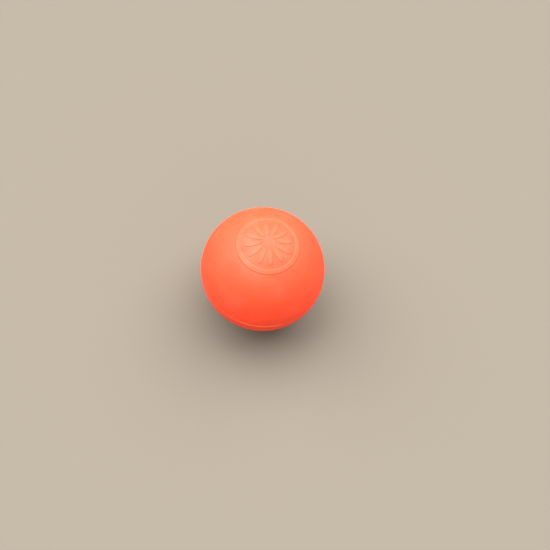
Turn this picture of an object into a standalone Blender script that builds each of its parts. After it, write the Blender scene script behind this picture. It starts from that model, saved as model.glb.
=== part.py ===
"""Moulded rubber massage ball: a firm core in a skin of two cups, joined by a raised seam.

Units are metres and +Z is up. The origin is the ball's centre, +Z points through the middle
of the raised mark, and the seam lies in the XY plane. The gaps between pieces are glue lines.
"""

from math import asin, cos, pi, radians, sin, sqrt

import bmesh
import bpy
from mathutils import Matrix

# Driving dimensions
BALL_RADIUS = 0.03175
COVER_THICKNESS = 0.004
GLUE_GAP = 0.0003

# The seam: a thin web between the cups' rims, which flares into a raised bead outside
WEB_HALF_THICKNESS = 0.00025
BEAD_HALF_WIDTH = 0.0006
BEAD_HEIGHT = 0.0002
BEAD_DEPTH = 0.0006
BEAD_STEPS = 6

# The mark: a raised ring around a ring of petals, as angles from the pole
MARK_HEIGHT = 0.00025
RING_INNER = radians(25.5)
RING_OUTER = radians(29.5)
PETAL_START = radians(6)
PETAL_END = radians(21)
PETAL_COUNT = 12
PETAL_ROWS = 4

# Facets
SEGMENTS = 72
CORE_SEGMENTS = 48
OUTER_STEP = radians(5.5)
INNER_STEP = radians(8)
MERGE_DISTANCE = 1e-6
SMOOTH_ANGLE = radians(35)

# Derived dimensions
INNER_RADIUS = BALL_RADIUS - COVER_THICKNESS
CORE_RADIUS = INNER_RADIUS - GLUE_GAP
RIM_HEIGHT = WEB_HALF_THICKNESS + GLUE_GAP
BEVEL_HEIGHT = BEAD_HALF_WIDTH + GLUE_GAP
BEAD_ROOT_RADIUS = BALL_RADIUS - BEAD_DEPTH
RIM_EDGE_RADIUS = BEAD_ROOT_RADIUS - GLUE_GAP / 2

# Surface: linear colour, roughness
CORAL = ((0.93, 0.14, 0.05), 0.5)
CORAL_SEAM = ((0.95, 0.17, 0.07), 0.5)
CORE_GREY = ((0.06, 0.06, 0.065), 0.8)


def clear_scene():
    """Remove every object that the file opened with."""
    for item in list(bpy.data.objects):
        bpy.data.objects.remove(item, do_unlink=True)


def make_material(name, surface):
    """A rubber with one colour and one roughness."""
    colour, roughness = surface
    material = bpy.data.materials.new(name)
    material.use_nodes = True
    shader = material.node_tree.nodes["Principled BSDF"]
    shader.inputs["Base Color"].default_value = (*colour, 1.0)
    shader.inputs["Roughness"].default_value = roughness
    shader.inputs["Metallic"].default_value = 0.0
    return material


def make_object(name, mesh, surface):
    """Shade a finished mesh smooth, give it its rubber and put it in the scene."""
    mesh.shade_smooth()
    mesh.set_sharp_from_angle(angle=SMOOTH_ANGLE)
    mesh.materials.append(make_material(name, surface))
    item = bpy.data.objects.new(name, mesh)
    bpy.context.scene.collection.objects.link(item)
    return item


def arc(radius, start, end, step):
    """Points (r, z) along a meridian, from one angle off the pole to another."""
    count = max(1, round(abs(end - start) / step))
    angles = [start + (end - start) * i / count for i in range(count + 1)]
    return [(radius * sin(a), radius * cos(a)) for a in angles]


def spin(profile, closed):
    """A body of revolution about Z. An open profile starts and ends on the axis."""
    bm = bmesh.new()
    points = [bm.verts.new((r, 0, z)) for r, z in profile]
    pairs = list(zip(points, points[1:]))
    if closed:
        pairs.append((points[-1], points[0]))
    edges = [bm.edges.new(pair) for pair in pairs]
    bmesh.ops.spin(
        bm, geom=points + edges, cent=(0, 0, 0), axis=(0, 0, 1), angle=2 * pi, steps=SEGMENTS
    )
    bmesh.ops.remove_doubles(bm, verts=bm.verts, dist=MERGE_DISTANCE)
    bmesh.ops.recalc_face_normals(bm, faces=bm.faces)
    return bm


def to_mesh(bm, name):
    """Write a bmesh out as a mesh and free it."""
    mesh = bpy.data.meshes.new(name)
    bm.to_mesh(mesh)
    bm.free()
    return mesh


def mark_angles():
    """The angles off the pole where the outside of the marked cup has a ring of corners."""
    row_height = (PETAL_END - PETAL_START) / PETAL_ROWS
    petal_rings = [PETAL_START + row_height * i for i in range(PETAL_ROWS + 1)]
    return [0, PETAL_START / 2, *petal_rings, RING_INNER, RING_OUTER]


def cover_profile(marked):
    """Outside from the pole to the bevelled rim, then back along the inside to the pole."""
    bevel_angle = pi / 2 - asin(BEVEL_HEIGHT / BALL_RADIUS)
    rim_angle = pi / 2 - asin(RIM_HEIGHT / INNER_RADIUS)
    if marked:
        crown = [(BALL_RADIUS * sin(a), BALL_RADIUS * cos(a)) for a in mark_angles()]
        outside = crown[:-1] + arc(BALL_RADIUS, RING_OUTER, bevel_angle, OUTER_STEP)
    else:
        outside = arc(BALL_RADIUS, 0, bevel_angle, OUTER_STEP)
    inside = arc(INNER_RADIUS, rim_angle, 0, INNER_STEP)
    return outside + [(RIM_EDGE_RADIUS, RIM_HEIGHT)] + inside


def petal_segments(row):
    """How many segments a petal is wide in one of its rows: it narrows at both ends."""
    return 2 if row in (0, PETAL_ROWS - 1) else 4


def is_marked(centre):
    """Whether a face of the outside, given by its centre, belongs to the raised mark."""
    radius = centre.length
    if radius < (BALL_RADIUS + INNER_RADIUS) / 2 or centre.z <= 0:
        return False
    off_pole = centre.angle((0, 0, 1))
    if RING_INNER < off_pole < RING_OUTER:
        return True
    if not PETAL_START < off_pole < PETAL_END:
        return False
    row = int(PETAL_ROWS * (off_pole - PETAL_START) / (PETAL_END - PETAL_START))
    pitch = 2 * pi / PETAL_COUNT
    around = centre.xy.angle_signed((1, 0)) % pitch
    off_petal = min(around, pitch - around)
    return off_petal < petal_segments(row) * pi / SEGMENTS


def raise_mark(bm):
    """Lift the mark's faces straight out from the ball."""
    faces = [face for face in bm.faces if is_marked(face.calc_center_median())]
    lifted = bmesh.ops.extrude_face_region(bm, geom=faces)["geom"]
    corners = [item for item in lifted if isinstance(item, bmesh.types.BMVert)]
    scale = Matrix.Scale(1 + MARK_HEIGHT / BALL_RADIUS, 4)
    bmesh.ops.transform(bm, matrix=scale, verts=corners)
    bmesh.ops.delete(bm, geom=[face for face in faces if face.is_valid], context="FACES_ONLY")
    bmesh.ops.recalc_face_normals(bm, faces=bm.faces)


def make_upper_cover():
    """The cup with the mark."""
    bm = spin(cover_profile(marked=True), closed=False)
    raise_mark(bm)
    return make_object("upper_cover", to_mesh(bm, "upper_cover"), CORAL)


def make_lower_cover():
    """The plain cup, turned over."""
    bm = spin(cover_profile(marked=False), closed=False)
    item = make_object("lower_cover", to_mesh(bm, "lower_cover"), CORAL)
    item.rotation_euler.x = pi
    return item


def make_seam_bond():
    """The ring of cement between the rims, with its raised bead."""
    edge_radius = sqrt(BALL_RADIUS**2 - BEAD_HALF_WIDTH**2)
    crown = []
    for step in range(1, BEAD_STEPS):
        turn = pi * step / BEAD_STEPS
        height = BALL_RADIUS + BEAD_HEIGHT * sin(turn) - edge_radius
        crown.append((edge_radius + height * sin(turn), BEAD_HALF_WIDTH * cos(turn)))
    profile = [
        (INNER_RADIUS, WEB_HALF_THICKNESS),
        (BEAD_ROOT_RADIUS, WEB_HALF_THICKNESS),
        (edge_radius, BEAD_HALF_WIDTH),
        *crown,
        (edge_radius, -BEAD_HALF_WIDTH),
        (BEAD_ROOT_RADIUS, -WEB_HALF_THICKNESS),
        (INNER_RADIUS, -WEB_HALF_THICKNESS),
    ]
    bm = spin(profile, closed=True)
    return make_object("seam_bond", to_mesh(bm, "seam_bond"), CORAL_SEAM)


def make_core():
    """The solid centre that carries the load."""
    bm = bmesh.new()
    bmesh.ops.create_uvsphere(
        bm, u_segments=CORE_SEGMENTS, v_segments=CORE_SEGMENTS // 2, radius=CORE_RADIUS
    )
    return make_object("core", to_mesh(bm, "core"), CORE_GREY)


clear_scene()
make_core()
make_upper_cover()
make_lower_cover()
make_seam_bond()
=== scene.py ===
"""Looks of the moulded rubber massage ball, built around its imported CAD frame.

Everything is in metres in the frame of the CAD: the ball's centre is the origin, +Z runs
through the middle of the raised mark and the seam lies in the XY plane.
"""

from math import cos, pi, radians, sin, sqrt

import bpy
import numpy as np
from mathutils import Matrix, Vector


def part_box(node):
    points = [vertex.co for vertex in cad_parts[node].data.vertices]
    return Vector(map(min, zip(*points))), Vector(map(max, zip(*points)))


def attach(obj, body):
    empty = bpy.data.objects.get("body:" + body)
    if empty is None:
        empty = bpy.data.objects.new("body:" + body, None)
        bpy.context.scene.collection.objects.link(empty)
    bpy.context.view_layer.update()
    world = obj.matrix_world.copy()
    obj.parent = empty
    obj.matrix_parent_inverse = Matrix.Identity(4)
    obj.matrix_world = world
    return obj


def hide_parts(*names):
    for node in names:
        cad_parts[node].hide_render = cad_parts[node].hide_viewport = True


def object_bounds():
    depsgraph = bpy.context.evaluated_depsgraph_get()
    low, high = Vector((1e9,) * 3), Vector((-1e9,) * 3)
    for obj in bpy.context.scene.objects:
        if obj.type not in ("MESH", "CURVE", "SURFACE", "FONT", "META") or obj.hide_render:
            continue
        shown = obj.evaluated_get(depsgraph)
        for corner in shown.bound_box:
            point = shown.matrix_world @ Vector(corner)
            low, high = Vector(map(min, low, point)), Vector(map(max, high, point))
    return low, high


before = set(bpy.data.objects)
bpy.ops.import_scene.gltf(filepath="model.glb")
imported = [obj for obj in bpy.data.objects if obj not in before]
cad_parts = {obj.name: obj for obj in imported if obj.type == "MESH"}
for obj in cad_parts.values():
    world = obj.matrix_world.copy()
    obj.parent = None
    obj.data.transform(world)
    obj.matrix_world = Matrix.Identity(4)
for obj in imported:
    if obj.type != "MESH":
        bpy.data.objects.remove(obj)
CAD_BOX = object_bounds()

MM = 0.001

# Sizes read from the frame
BALL_RADIUS = -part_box("lower_cover")[0].z
CORE_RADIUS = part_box("core")[1].z
BEAD_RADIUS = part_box("seam_bond")[1].x
BEAD_HALF_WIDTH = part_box("seam_bond")[1].z
FLOOR_HEIGHT = CAD_BOX[0].z

# The seam inside the skin: a thin web, which flares into the bead. Outside, a crease lies along the
# bead, with painted shade in it that is patchy like grime. Pieces that meet keep TOUCH between them.
WEB_HALF_THICKNESS = 0.25 * MM
WEB_FLARE_DEPTH = 0.6 * MM
WEB_STEP = 1.5 * MM
CREASE_DEPTH = 0.05 * MM
CREASE_WIDTH = 0.35 * MM
SHADE_AND_GRIME_WIDTH = 1.4 * MM
TOUCH = 0.01 * MM

# The bead: its outline is a sine to the power BEAD_FULLNESS. It is uneven downwards and
# sideways by waves of (waves in one turn, height, phase).
BEAD_FULLNESS = 0.8
BEAD_LOWER = ((2, 0.025 * MM, 5.0), (3, 0.026 * MM, 0.4), (5, 0.028 * MM, 3.8), (37, 0.005 * MM, 5.0))
BEAD_ASIDE = ((7, 0.020 * MM, 1.0), (19, 0.012 * MM, 4.2), (53, 0.006 * MM, 0.3))

# The mark: a raised ring around a rosette of petals, by arc length from the pole. Along a
# petal, its width follows t**PETAL_TAPER * (1 - t)**PETAL_ROUNDING.
MARK_HEIGHT = 0.22 * MM
MARK_EDGE = 0.22 * MM
RING_INNER = BALL_RADIUS * radians(25.5)
RING_OUTER = BALL_RADIUS * radians(29.5)
PETAL_START = BALL_RADIUS * radians(5.6)
PETAL_END = BALL_RADIUS * radians(21.6)
PETAL_HALF_WIDTH = 1.25 * MM
PETAL_COUNT = 12
PETAL_TAPER = 0.75
PETAL_ROUNDING = 0.5

# Mesh density: corners in a ring, steps along an outline, and distances between corners
FULL_COUNT = 480
LEAST_COUNT = 30
BEAD_COUNT = 960
BEAD_STEPS = 16
CREASE_STEPS = 6
INSIDE_STEPS = 24
FINE_SPACING = 0.15 * MM
COARSE_SPACING = 0.62 * MM
FINE_MARGIN = 4 * FINE_SPACING

# Linear colours
CORAL = (0.95, 0.042, 0.0005)
CORAL_DEEP = (0.78, 0.034, 0.0004)
# The mark's and the bead's colours are painted highlight: lighter where they are raised
CORAL_MARK_PAINTED_HIGHLIGHT = (0.96, 0.056, 0.007)
CORAL_BEAD_PAINTED_HIGHLIGHT = (0.96, 0.150, 0.045)
DUST = (0.95, 0.55, 0.42)
# Dark specks of grit, and painted shade in the crease along the bead, patchy like grime
GRIME_AND_SHADE = (0.30, 0.030, 0.010)
GRANULE_DARK = (0.03, 0.03, 0.032)
GRANULE_LIGHT = (0.08, 0.078, 0.075)
FLOOR_COLOUR = (0.142, 0.127, 0.106)
LIGHT_COLOUR = (1.0, 0.98, 0.95)
HORIZON_COLOUR = (0.57, 0.496, 0.400)
ZENITH_COLOUR = (1.35, 1.33, 1.30)

# Patches from noise: (features in a metre, detail, noise from, noise to, value from, value to)
CLOUDS = (40, 3.0, 0.35, 0.65, 0.0, 0.4)
MOTTLE = (160, 5.0, 0.45, 0.75, 0.0, 0.5)
BLOOM = (70, 4.0, 0.50, 0.70, 0.0, 0.025)
# Painted shade in the crease along the bead, patchy like grime
CREASE_SHADE_PATCHES = (160, 3.0, 0.35, 0.65, 0.0, 0.08)
ROUGHNESS = (160, 5.0, 0.30, 0.70, 0.64, 0.78)
GRANULE_TONE = (350, 4.0, 0.30, 0.70, 0.0, 1.0)

# Round specks: (cells in a metre, share of the cells, radius in cell widths, strength)
DUST_SPECKS = (900, 0.20, 0.15, 0.22)
GRIT_SPECKS = (600, 0.12, 0.12, 0.35)
PITS = (330, 0.08, 0.16, 1.0)

# Relief of the rubber, as grain, pores and swell of (features in a metre, detail, depth)
RELIEF = ((5200, 2.0, 0.010 * MM), (1300, 3.0, 0.045 * MM), (420, 2.0, 0.030 * MM))
PIT_DEPTH = 0.05 * MM

# The rest of the rubbers' finish
# How far raised places take the lighter colour of their painted highlight
PAINTED_HIGHLIGHT_SHARE = 0.8
SPECULAR_LEVEL = 0.72
SCATTER_SHARE = 0.15
SCATTER_COLOUR = (1.0, 0.25, 0.12)
SCATTER_DEPTH = 1.2 * MM
GRANULES = 700
GRANULE_DEPTH = 0.1 * MM
GRANULE_ROUGHNESS = (0.7, 0.9)

# Round soft lights far away: (name, direction towards it, strength, whether the sheen shows it)
LIGHTS = (
    ("left", (-0.68, 0.42, 1.0), 5.8, True),
    ("right", (0.42, 0.42, 1.0), 5.3, True),
    ("fill", (0.05, -1.0, 0.25), 0.36, False),
)
LIGHT_WIDTH = radians(60)

# Floor and camera
FLOOR_HALF_SIZE = 4.0
CAMERA_DISTANCE = 16 * BALL_RADIUS
CAMERA_ELEVATION = radians(64.8)
CAMERA_AZIMUTH = radians(-109.3)
CAMERA_ROLL = radians(13.5)
CAMERA_LENS = 64.7
CAMERA_CLIP = 10 * MM
AIM_RIGHT = 6.3 * MM
AIM_DOWN = 3.0 * MM


# ---------------------------------------------------------------- turned meshes


def count_for(radius, spacing):
    """Corners in a ring: the full count, halved while they are less than half a spacing apart."""
    count = FULL_COUNT
    while count > LEAST_COUNT and 2 * pi * radius / count < spacing / 2:
        count //= 2
    return count


def join_rings(lower, upper):
    """Faces between two rings of corner numbers: equal counts, one twice the other, or one of 1."""
    if len(lower) == 1 or len(upper) == 1:
        rim = upper if len(lower) == 1 else lower
        tip = lower[0] if len(lower) == 1 else upper[0]
        faces = [(tip, rim[i], rim[(i + 1) % len(rim)]) for i in range(len(rim))]
        return faces if len(lower) == 1 else [face[::-1] for face in faces]
    if len(lower) == len(upper):
        count = len(lower)
        return [
            (lower[i], upper[i], upper[(i + 1) % count], lower[(i + 1) % count])
            for i in range(count)
        ]
    if len(lower) > len(upper):
        return [face[::-1] for face in join_rings(upper, lower)]
    faces = []
    count = len(lower)
    for i in range(count):
        near, far = lower[i], lower[(i + 1) % count]
        first, middle, last = upper[2 * i], upper[2 * i + 1], upper[(2 * i + 2) % (2 * count)]
        faces += [(near, first, middle), (near, middle, far), (far, middle, last)]
    return faces


def turned_mesh(name, rings, closed):
    """A body of revolution from rings of (radius, height, count), listed down its outer side.

    A closed outline goes from its last ring back to its first.
    """
    corners, faces, numbers = [], [], []
    for radius, height, count in rings:
        start = len(corners)
        if radius == 0:
            corners.append((0, 0, height))
        else:
            turns = [2 * pi * i / count for i in range(count)]
            corners += [(radius * cos(t), radius * sin(t), height) for t in turns]
        numbers.append(list(range(start, len(corners))))
    pairs = list(zip(numbers, numbers[1:]))
    if closed:
        pairs.append((numbers[-1], numbers[0]))
    for upper, lower in pairs:
        faces += join_rings(upper, lower)
    mesh = bpy.data.meshes.new(name)
    mesh.from_pydata(corners, [], faces)
    mesh.validate()
    mesh.shade_smooth()
    return mesh


def corners_of(mesh):
    """A mesh's corners as an array of rows."""
    flat = np.empty(3 * len(mesh.vertices), np.float32)
    mesh.vertices.foreach_get("co", flat)
    return flat.reshape(-1, 3).astype(float)


def move_corners(mesh, corners):
    """Put an array of rows back as a mesh's corners."""
    mesh.vertices.foreach_set("co", corners.astype(np.float32).ravel())
    mesh.update()


def store(mesh, name, values):
    """Keep one number for each corner, for the materials to read."""
    attribute = mesh.attributes.new(name, "FLOAT", "POINT")
    attribute.data.foreach_set("value", values.astype(np.float32))


def add_piece(name, mesh, material, node):
    """Make an object that stands for a CAD node and rides with the ball."""
    piece = bpy.data.objects.new(name, mesh)
    bpy.context.scene.collection.objects.link(piece)
    mesh.materials.append(material)
    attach(piece, "root")
    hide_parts(node)


# ---------------------------------------------------------------- the cups of the skin


def smooth_step(low, high, values):
    """0 below low, 1 above high, and a smooth ramp between."""
    t = np.clip((values - low) / (high - low), 0, 1)
    return t * t * (3 - 2 * t)


def petal_width(along):
    """Half the width of a petal, from 0 at its inner tip to 0 at its rounded outer one."""
    t = np.clip(along, 0, 1)
    widest = PETAL_TAPER / (PETAL_TAPER + PETAL_ROUNDING)
    peak = widest**PETAL_TAPER * (1 - widest) ** PETAL_ROUNDING
    return PETAL_HALF_WIDTH * t**PETAL_TAPER * (1 - t) ** PETAL_ROUNDING / peak


def mark_cover(corners):
    """How fully each corner lies on the mark, from 0 to 1, with a soft edge."""
    off_pole = BALL_RADIUS * np.arccos(np.clip(corners[:, 2] / BALL_RADIUS, -1, 1))
    ring = np.minimum(off_pole - RING_INNER, RING_OUTER - off_pole)
    pitch = 2 * pi / PETAL_COUNT
    turn = np.arctan2(corners[:, 1], corners[:, 0])
    off_petal = (turn + pitch / 2) % pitch - pitch / 2
    along = (off_pole * np.cos(off_petal) - PETAL_START) / (PETAL_END - PETAL_START)
    across = np.abs(off_pole * np.sin(off_petal))
    petal = petal_width(along) - across
    petal[(along <= 0) | (along >= 1)] = -1
    inside = np.maximum(ring, petal)
    return smooth_step(-MARK_EDGE / 2, MARK_EDGE / 2, inside)


def even_steps(start, end, step):
    """Values from start up to, but not including, end, about one step apart."""
    return list(np.linspace(start, end, round((end - start) / step), endpoint=False))


def outside_angles(marked):
    """Angles off the pole of the rings on a cup's outside, close together over the mark."""
    fine, coarse = FINE_SPACING / BALL_RADIUS, COARSE_SPACING / BALL_RADIUS
    last = pi / 2 - (BEAD_HALF_WIDTH + CREASE_WIDTH) / BALL_RADIUS
    if not marked:
        return even_steps(coarse, last, coarse)
    start = (PETAL_START - FINE_MARGIN) / BALL_RADIUS
    end = (RING_OUTER + FINE_MARGIN) / BALL_RADIUS
    angles = even_steps(coarse, start, coarse)
    angles += even_steps(start, end, fine)
    angles += even_steps(end, last, coarse)
    return angles


def cup_rings(marked):
    """The outline of a cup: pole, outside, crease at the bead, rim, inside, pole."""
    rings = [(0, BALL_RADIUS, 1)]
    for angle in outside_angles(marked):
        radius = BALL_RADIUS * sin(angle)
        on_mark = marked and angle * BALL_RADIUS < RING_OUTER
        spacing = FINE_SPACING if on_mark else COARSE_SPACING
        rings.append((radius, BALL_RADIUS * cos(angle), count_for(radius, spacing)))
    for step in range(CREASE_STEPS + 1):
        share = step / CREASE_STEPS
        height = BEAD_HALF_WIDTH + CREASE_WIDTH * (1 - share)
        dip = CREASE_DEPTH * share**2
        rings.append((sqrt(BALL_RADIUS**2 - height**2) - dip, height, FULL_COUNT))
    rings.append((BALL_RADIUS - WEB_FLARE_DEPTH, WEB_HALF_THICKNESS + TOUCH, FULL_COUNT))
    inside = CORE_RADIUS + TOUCH
    rim_angle = pi / 2 - (WEB_HALF_THICKNESS + TOUCH) / inside
    for angle in np.linspace(rim_angle, 0, INSIDE_STEPS, endpoint=False):
        count = FULL_COUNT // 2 if angle == rim_angle else FULL_COUNT // 4
        rings.append((inside * sin(angle), inside * cos(angle), count))
    rings.append((0, inside, 1))
    return rings


def make_cup(name, marked, material, node):
    """One cup of the skin as a closed shell, with the mark on it or turned over to lie below."""
    mesh = turned_mesh(name, cup_rings(marked), closed=False)
    corners = corners_of(mesh)
    outside = np.linalg.norm(corners, axis=1) > (BALL_RADIUS + CORE_RADIUS) / 2
    cover = np.zeros(len(corners))
    if marked:
        cover[outside] = mark_cover(corners[outside])
        corners *= (1 + cover * MARK_HEIGHT / BALL_RADIUS)[:, None]
    else:
        corners = corners * np.array((1, -1, -1))
    move_corners(mesh, corners)
    off_bead = np.abs(corners[:, 2]) - BEAD_HALF_WIDTH
    # The mark takes the painted highlight
    store(mesh, "painted_highlight", cover)
    # Painted shade near the bead, patchy like grime
    store(mesh, "crease_shade_and_grime_mask", 1 - smooth_step(0, SHADE_AND_GRIME_WIDTH, off_bead))
    add_piece(name, mesh, material, node)


# ---------------------------------------------------------------- the seam


def ripple(turns, parts):
    """A sum of waves around the ball: each part is (waves in one turn, height, phase)."""
    return sum(height * np.sin(waves * turns + phase) for waves, height, phase in parts)


def seam_rings():
    """The closed outline of the seam: up the web's top face, over the bead, and back below."""
    edge = sqrt(BALL_RADIUS**2 - BEAD_HALF_WIDTH**2) - CREASE_DEPTH
    root = BALL_RADIUS - WEB_FLARE_DEPTH
    inner = CORE_RADIUS + TOUCH
    web = ((inner, BEAD_COUNT // 4), (root - WEB_STEP, BEAD_COUNT // 2), (root, BEAD_COUNT))
    rings = [(radius, WEB_HALF_THICKNESS, count) for radius, count in web]
    for step in range(BEAD_STEPS + 1):
        turn = pi * step / BEAD_STEPS
        radius = edge + (BEAD_RADIUS - edge) * sin(turn) ** BEAD_FULLNESS
        rings.append((radius, BEAD_HALF_WIDTH * cos(turn), BEAD_COUNT))
    rings += [(radius, -WEB_HALF_THICKNESS, count) for radius, count in reversed(web)]
    return rings


def make_seam(material):
    """The ring of cement with its raised bead, uneven as squeezed-out rubber is.

    The bead is coloured lighter where it is full, as a painted highlight, and soon less so where it
    is low.
    """
    mesh = turned_mesh("seam_bead", seam_rings(), closed=True)
    corners = corners_of(mesh)
    radius = np.linalg.norm(corners[:, :2], axis=1)
    turns = np.arctan2(corners[:, 1], corners[:, 0])
    full_height = BEAD_RADIUS - BALL_RADIUS
    proud = np.clip((radius - BALL_RADIUS) / full_height, 0, 1)
    lower = ripple(turns, BEAD_LOWER) - sum(height for waves, height, phase in BEAD_LOWER)
    corners[:, :2] *= (1 + proud * lower / radius)[:, None]
    corners[:, 2] += proud * ripple(turns, BEAD_ASIDE)
    move_corners(mesh, corners)
    fullness = 1 + lower / full_height
    # A painted highlight on the bead, stronger where it stands full
    store(mesh, "painted_highlight", proud * fullness**2)
    # Painted shade, patchy like grime, on the web and at the bead's foot
    store(mesh, "crease_shade_and_grime_mask", 1 - proud)
    add_piece("seam_bead", mesh, material, "seam_bond")


# ---------------------------------------------------------------- materials


class Nodes:
    """A material's node tree, with short ways to add to it."""

    def __init__(self, name):
        self.material = bpy.data.materials.new(name)
        self.material.use_nodes = True
        self.tree = self.material.node_tree
        self.shader = self.tree.nodes["Principled BSDF"]

    def add(self, kind, **settings):
        """A node of that kind. A setting with a capital is an input, and may be a node's output."""
        node = self.tree.nodes.new(kind)
        for key, value in settings.items():
            if key[0].isupper():
                self.feed(node.inputs[key], value)
            else:
                setattr(node, key, value)
        return node

    def feed(self, socket, value):
        """Link another node's output to a socket, or set the socket's own value."""
        if isinstance(value, bpy.types.NodeSocket):
            self.tree.links.new(value, socket)
        else:
            socket.default_value = value

    def place(self):
        """Where a point is on the ball, in metres."""
        return self.add("ShaderNodeTexCoord").outputs["Object"]

    def stored(self, name):
        """A number that the mesh keeps for each corner."""
        return self.add("ShaderNodeAttribute", attribute_name=name).outputs["Fac"]

    def noise(self, per_metre, detail):
        """Noise from 0 to 1 with that many features in a metre."""
        node = self.add("ShaderNodeTexNoise", Vector=self.place(), Scale=per_metre, Detail=detail)
        return node.outputs["Fac"]

    def ramp(self, value, low, high, start, end):
        """Map low..high to start..end, held at both ends."""
        node = self.add("ShaderNodeMapRange", clamp=True, Value=value)
        limits = {"From Min": low, "From Max": high, "To Min": start, "To Max": end}
        for key, number in limits.items():
            node.inputs[key].default_value = number
        return node.outputs["Result"]

    def maths(self, operation, first, second):
        """One arithmetic step with two numbers."""
        node = self.add("ShaderNodeMath", operation=operation)
        self.feed(node.inputs[0], first)
        self.feed(node.inputs[1], second)
        return node.outputs[0]

    def patches(self, per_metre, detail, low, high, start, end):
        """Soft-edged patches of noise: start where it is low, end where it is high."""
        return self.ramp(self.noise(per_metre, detail), low, high, start, end)

    def specks(self, per_metre, share, radius, strength):
        """Soft round specks of that strength in a share of the cells, and 0 between them."""
        cells = self.add("ShaderNodeTexVoronoi", Vector=self.place(), Scale=per_metre)
        chance = self.add("ShaderNodeSeparateColor", Color=cells.outputs["Color"]).outputs["Red"]
        spot = self.ramp(cells.outputs["Distance"], radius / 2, radius, strength, 0.0)
        return self.maths("MULTIPLY", self.maths("LESS_THAN", chance, share), spot)

    def blend(self, share, first, second):
        """Mix two colours."""
        node = self.add("ShaderNodeMix", data_type="RGBA")
        self.feed(node.inputs["Factor"], share)
        for socket, colour in ((node.inputs[6], first), (node.inputs[7], second)):
            self.feed(socket, colour if isinstance(colour, bpy.types.NodeSocket) else (*colour, 1.0))
        return node.outputs[2]

    def bump(self, height, depth, below=None):
        """Bump of a real depth in metres, over another bump if one is given."""
        node = self.add("ShaderNodeBump", Height=height, Distance=depth)
        if below:
            self.feed(node.inputs["Normal"], below)
        return node.outputs["Normal"]


def coral_colour(nodes, painted_highlight):
    """Dye that is a little clouded and mottled, lighter where raised as a painted highlight, with
    bloom, dust, grit specks and painted shade along the crease that is patchy like grime.
    """
    body = nodes.blend(nodes.patches(*CLOUDS), CORAL, CORAL_DEEP)
    body = nodes.blend(nodes.patches(*MOTTLE), body, CORAL_DEEP)
    # Painted highlight: raised places are coloured lighter
    painted_highlight_amount = nodes.maths("MULTIPLY", nodes.stored("painted_highlight"), PAINTED_HIGHLIGHT_SHARE)
    body = nodes.blend(painted_highlight_amount, body, painted_highlight)
    body = nodes.blend(nodes.patches(*BLOOM), body, DUST)
    # Painted shade in the crease along the bead, patchy like grime
    crease_shade_and_grime = nodes.maths("MULTIPLY", nodes.stored("crease_shade_and_grime_mask"), nodes.patches(*CREASE_SHADE_PATCHES))
    body = nodes.blend(crease_shade_and_grime, body, GRIME_AND_SHADE)
    body = nodes.blend(nodes.specks(*DUST_SPECKS), body, DUST)
    return nodes.blend(nodes.specks(*GRIT_SPECKS), body, GRIME_AND_SHADE)


def coral_rubber(name, painted_highlight):
    """Dyed matte rubber, moulded in a blasted tool, with a lighter colour where it is raised as a
    painted highlight.
    """
    nodes = Nodes(name)
    nodes.feed(nodes.shader.inputs["Base Color"], coral_colour(nodes, painted_highlight))
    nodes.feed(nodes.shader.inputs["Roughness"], nodes.patches(*ROUGHNESS))
    surface = None
    for per_metre, detail, depth in RELIEF:
        surface = nodes.bump(nodes.noise(per_metre, detail), depth, below=surface)
    surface = nodes.bump(nodes.specks(*PITS), -PIT_DEPTH, below=surface)
    nodes.feed(nodes.shader.inputs["Normal"], surface)
    nodes.shader.inputs["Specular IOR Level"].default_value = SPECULAR_LEVEL
    nodes.shader.inputs["Subsurface Weight"].default_value = SCATTER_SHARE
    nodes.shader.inputs["Subsurface Radius"].default_value = SCATTER_COLOUR
    nodes.shader.inputs["Subsurface Scale"].default_value = SCATTER_DEPTH
    return nodes.material


def granule_rubber():
    """The core: black rubber granules pressed together."""
    nodes = Nodes("core_rubber")
    grains = nodes.add("ShaderNodeTexVoronoi", Vector=nodes.place(), Scale=GRANULES)
    tone = nodes.patches(*GRANULE_TONE)
    nodes.feed(nodes.shader.inputs["Base Color"], nodes.blend(tone, GRANULE_DARK, GRANULE_LIGHT))
    nodes.feed(nodes.shader.inputs["Roughness"], nodes.ramp(tone, 0.0, 1.0, *GRANULE_ROUGHNESS))
    surface = nodes.bump(grains.outputs["Distance"], GRANULE_DEPTH)
    nodes.feed(nodes.shader.inputs["Normal"], surface)
    return nodes.material


def floor_surface():
    """A plain pale floor with no gloss, so that it looks equally bright from every side."""
    nodes = Nodes("pale_floor")
    nodes.shader.inputs["Base Color"].default_value = (*FLOOR_COLOUR, 1.0)
    nodes.shader.inputs["Specular IOR Level"].default_value = 0.0
    return nodes.material


# ---------------------------------------------------------------- studio


def make_floor():
    """A square floor under the ball."""
    side = FLOOR_HALF_SIZE
    mesh = bpy.data.meshes.new("floor")
    corners = [(-side, -side, 0), (side, -side, 0), (side, side, 0), (-side, side, 0)]
    mesh.from_pydata(corners, [], [(0, 1, 2, 3)])
    mesh.materials.append(floor_surface())
    floor = bpy.data.objects.new("floor", mesh)
    floor.location.z = FLOOR_HEIGHT
    bpy.context.scene.collection.objects.link(floor)


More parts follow.
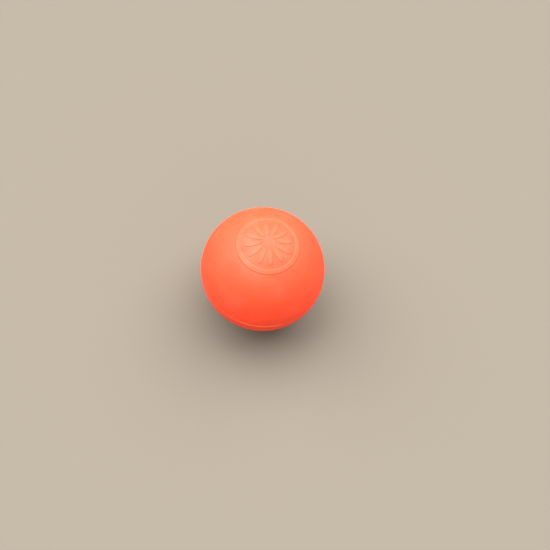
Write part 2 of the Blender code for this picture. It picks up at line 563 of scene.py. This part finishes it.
def make_camera():
    """Look steeply down at the ball, rolled so that the seam's axis leans right."""
    back = Vector(
        (
            cos(CAMERA_ELEVATION) * cos(CAMERA_AZIMUTH),
            cos(CAMERA_ELEVATION) * sin(CAMERA_AZIMUTH),
            sin(CAMERA_ELEVATION),
        )
    )
    level = (-back).to_track_quat("-Z", "Y").to_matrix().to_4x4()
    turned = level @ Matrix.Rotation(CAMERA_ROLL, 4, "Z")
    data = bpy.data.cameras.new("camera")
    data.lens = CAMERA_LENS
    data.clip_start = CAMERA_CLIP
    camera = bpy.data.objects.new("camera", data)
    aim = turned.to_3x3() @ Vector((AIM_RIGHT, -AIM_DOWN, 0))
    camera.matrix_world = Matrix.Translation(back * CAMERA_DISTANCE + aim) @ turned
    bpy.context.scene.collection.objects.link(camera)
    bpy.context.scene.camera = camera


def make_light(name, towards, strength, mirrored):
    """A round soft light far away in that direction, which the ball's sheen may leave out."""
    data = bpy.data.lights.new(name, "SUN")
    data.angle = LIGHT_WIDTH
    data.energy = strength
    data.color = LIGHT_COLOUR
    light = bpy.data.objects.new(name, data)
    light.location = towards
    light.rotation_mode = "QUATERNION"
    light.rotation_quaternion = (-Vector(towards)).to_track_quat("-Z", "Y")
    light.visible_glossy = mirrored
    bpy.context.scene.collection.objects.link(light)


def make_world():
    """Even light from all round, as bright as the floor at the horizon and brighter overhead."""
    world = bpy.data.worlds.new("studio")
    world.use_nodes = True
    tree = world.node_tree
    direction = tree.nodes.new("ShaderNodeTexCoord").outputs["Generated"]
    split = tree.nodes.new("ShaderNodeSeparateXYZ")
    mix = tree.nodes.new("ShaderNodeMix")
    mix.data_type = "RGBA"
    mix.inputs[6].default_value = (*HORIZON_COLOUR, 1.0)
    mix.inputs[7].default_value = (*ZENITH_COLOUR, 1.0)
    tree.links.new(direction, split.inputs[0])
    tree.links.new(split.outputs["Z"], mix.inputs["Factor"])
    tree.links.new(mix.outputs[2], tree.nodes["Background"].inputs["Color"])
    bpy.context.scene.world = world


cover_rubber = coral_rubber("cover_rubber", CORAL_MARK_PAINTED_HIGHLIGHT)
make_cup("marked_cup", True, cover_rubber, "upper_cover")
make_cup("plain_cup", False, cover_rubber, "lower_cover")
make_seam(coral_rubber("seam_rubber", CORAL_BEAD_PAINTED_HIGHLIGHT))

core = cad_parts["core"]
core.data.materials.clear()
core.data.materials.append(granule_rubber())

make_floor()
make_camera()
for light in LIGHTS:
    make_light(*light)
make_world()
bpy.context.scene.view_settings.view_transform = "Standard"
